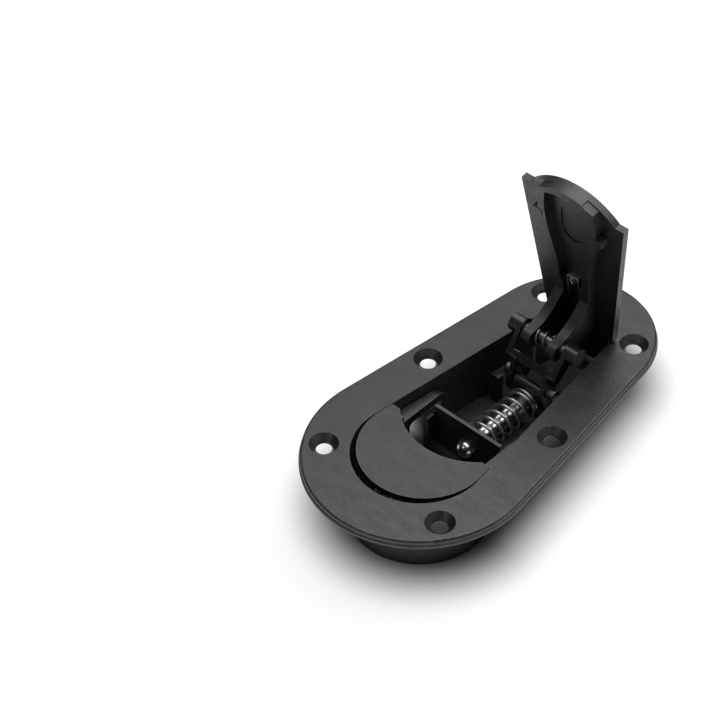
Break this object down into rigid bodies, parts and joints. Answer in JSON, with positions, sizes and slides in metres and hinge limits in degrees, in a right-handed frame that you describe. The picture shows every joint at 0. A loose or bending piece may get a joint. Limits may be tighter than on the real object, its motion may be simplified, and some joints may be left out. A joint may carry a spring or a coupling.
{
  "type": "flush hood latch",
  "caption": "Flush pin-type hood latch, oval countersunk flange, fold-up lever with a sprung sliding bolt and a crescent push button; stored open.",
  "frame": {"origin": "hood pin's axis in the plane of the flange's underside", "axes": "+X along the latch towards the lever's hinge, +Y across it, +Z out of the panel"},
  "size_m": [0.15, 0.0808, 0.0969],
  "materials": {
    "black_nylon": "fine grain, satin",
    "grey_casting": "satin",
    "bright_steel": "ground and polished",
    "spring_steel": "drawn wire"
  },
  "bodies": {
    "housing": {"base_housing": "black_nylon", "guide_plate": "black_nylon", "lever_hinge_pin": "bright_steel", "button_pivot_pin_left": "bright_steel", "button_pivot_pin_right": "bright_steel", "button_spring_left": "spring_steel", "button_spring_right": "spring_steel", "main_spring": "spring_steel"},
    "lever": {"lever": "black_nylon", "spring_staple": "spring_steel", "link_pin": "bright_steel", "kick_spring": "spring_steel", "clip_spring": "spring_steel"},
    "link": {"link_yoke": "grey_casting", "link_stud_left": "bright_steel", "link_stud_right": "bright_steel"},
    "bolt": {"lock_bolt": "bright_steel", "crosshead": "grey_casting", "crosshead_pin": "bright_steel"},
    "button": {"button": "black_nylon"}
  },
  "joints": [
    {"name": "lever_hinge", "type": "hinge", "parent": "housing", "child": "lever", "pos_m": [0.0645, 0, -0.0053], "axis": [0, -1, 0], "range_deg": [0, 81.8], "stiffness_Nm_per_rad": 0.0735, "springref_deg": -50.71},
    {"name": "link_pivot", "type": "hinge", "parent": "lever", "child": "link", "pos_m": [0.05031, 0, 0.00902], "axis": [0, -1, 0], "range_deg": [-166.5, 0]},
    {"name": "bolt_slide", "type": "slide", "parent": "housing", "child": "bolt", "axis": [-1, 0, 0], "range_m": [0, 0.0194], "deforming": ["main_spring"]},
    {"name": "button_rock", "type": "hinge", "parent": "housing", "child": "button", "pos_m": [0.0185, 0, -0.018], "axis": [0, -1, 0], "range_deg": [0, 4], "stiffness_Nm_per_rad": 0.6, "springref_deg": -5.73, "deforming": ["button_spring_left", "button_spring_right"]}
  ],
  "couplings": [
    {"joint": "link_pivot", "follows": "lever_hinge", "ratio": -2.033},
    {"joint": "bolt_slide", "follows": "lever_hinge", "m_per_rad": 0.013553}
  ]
}
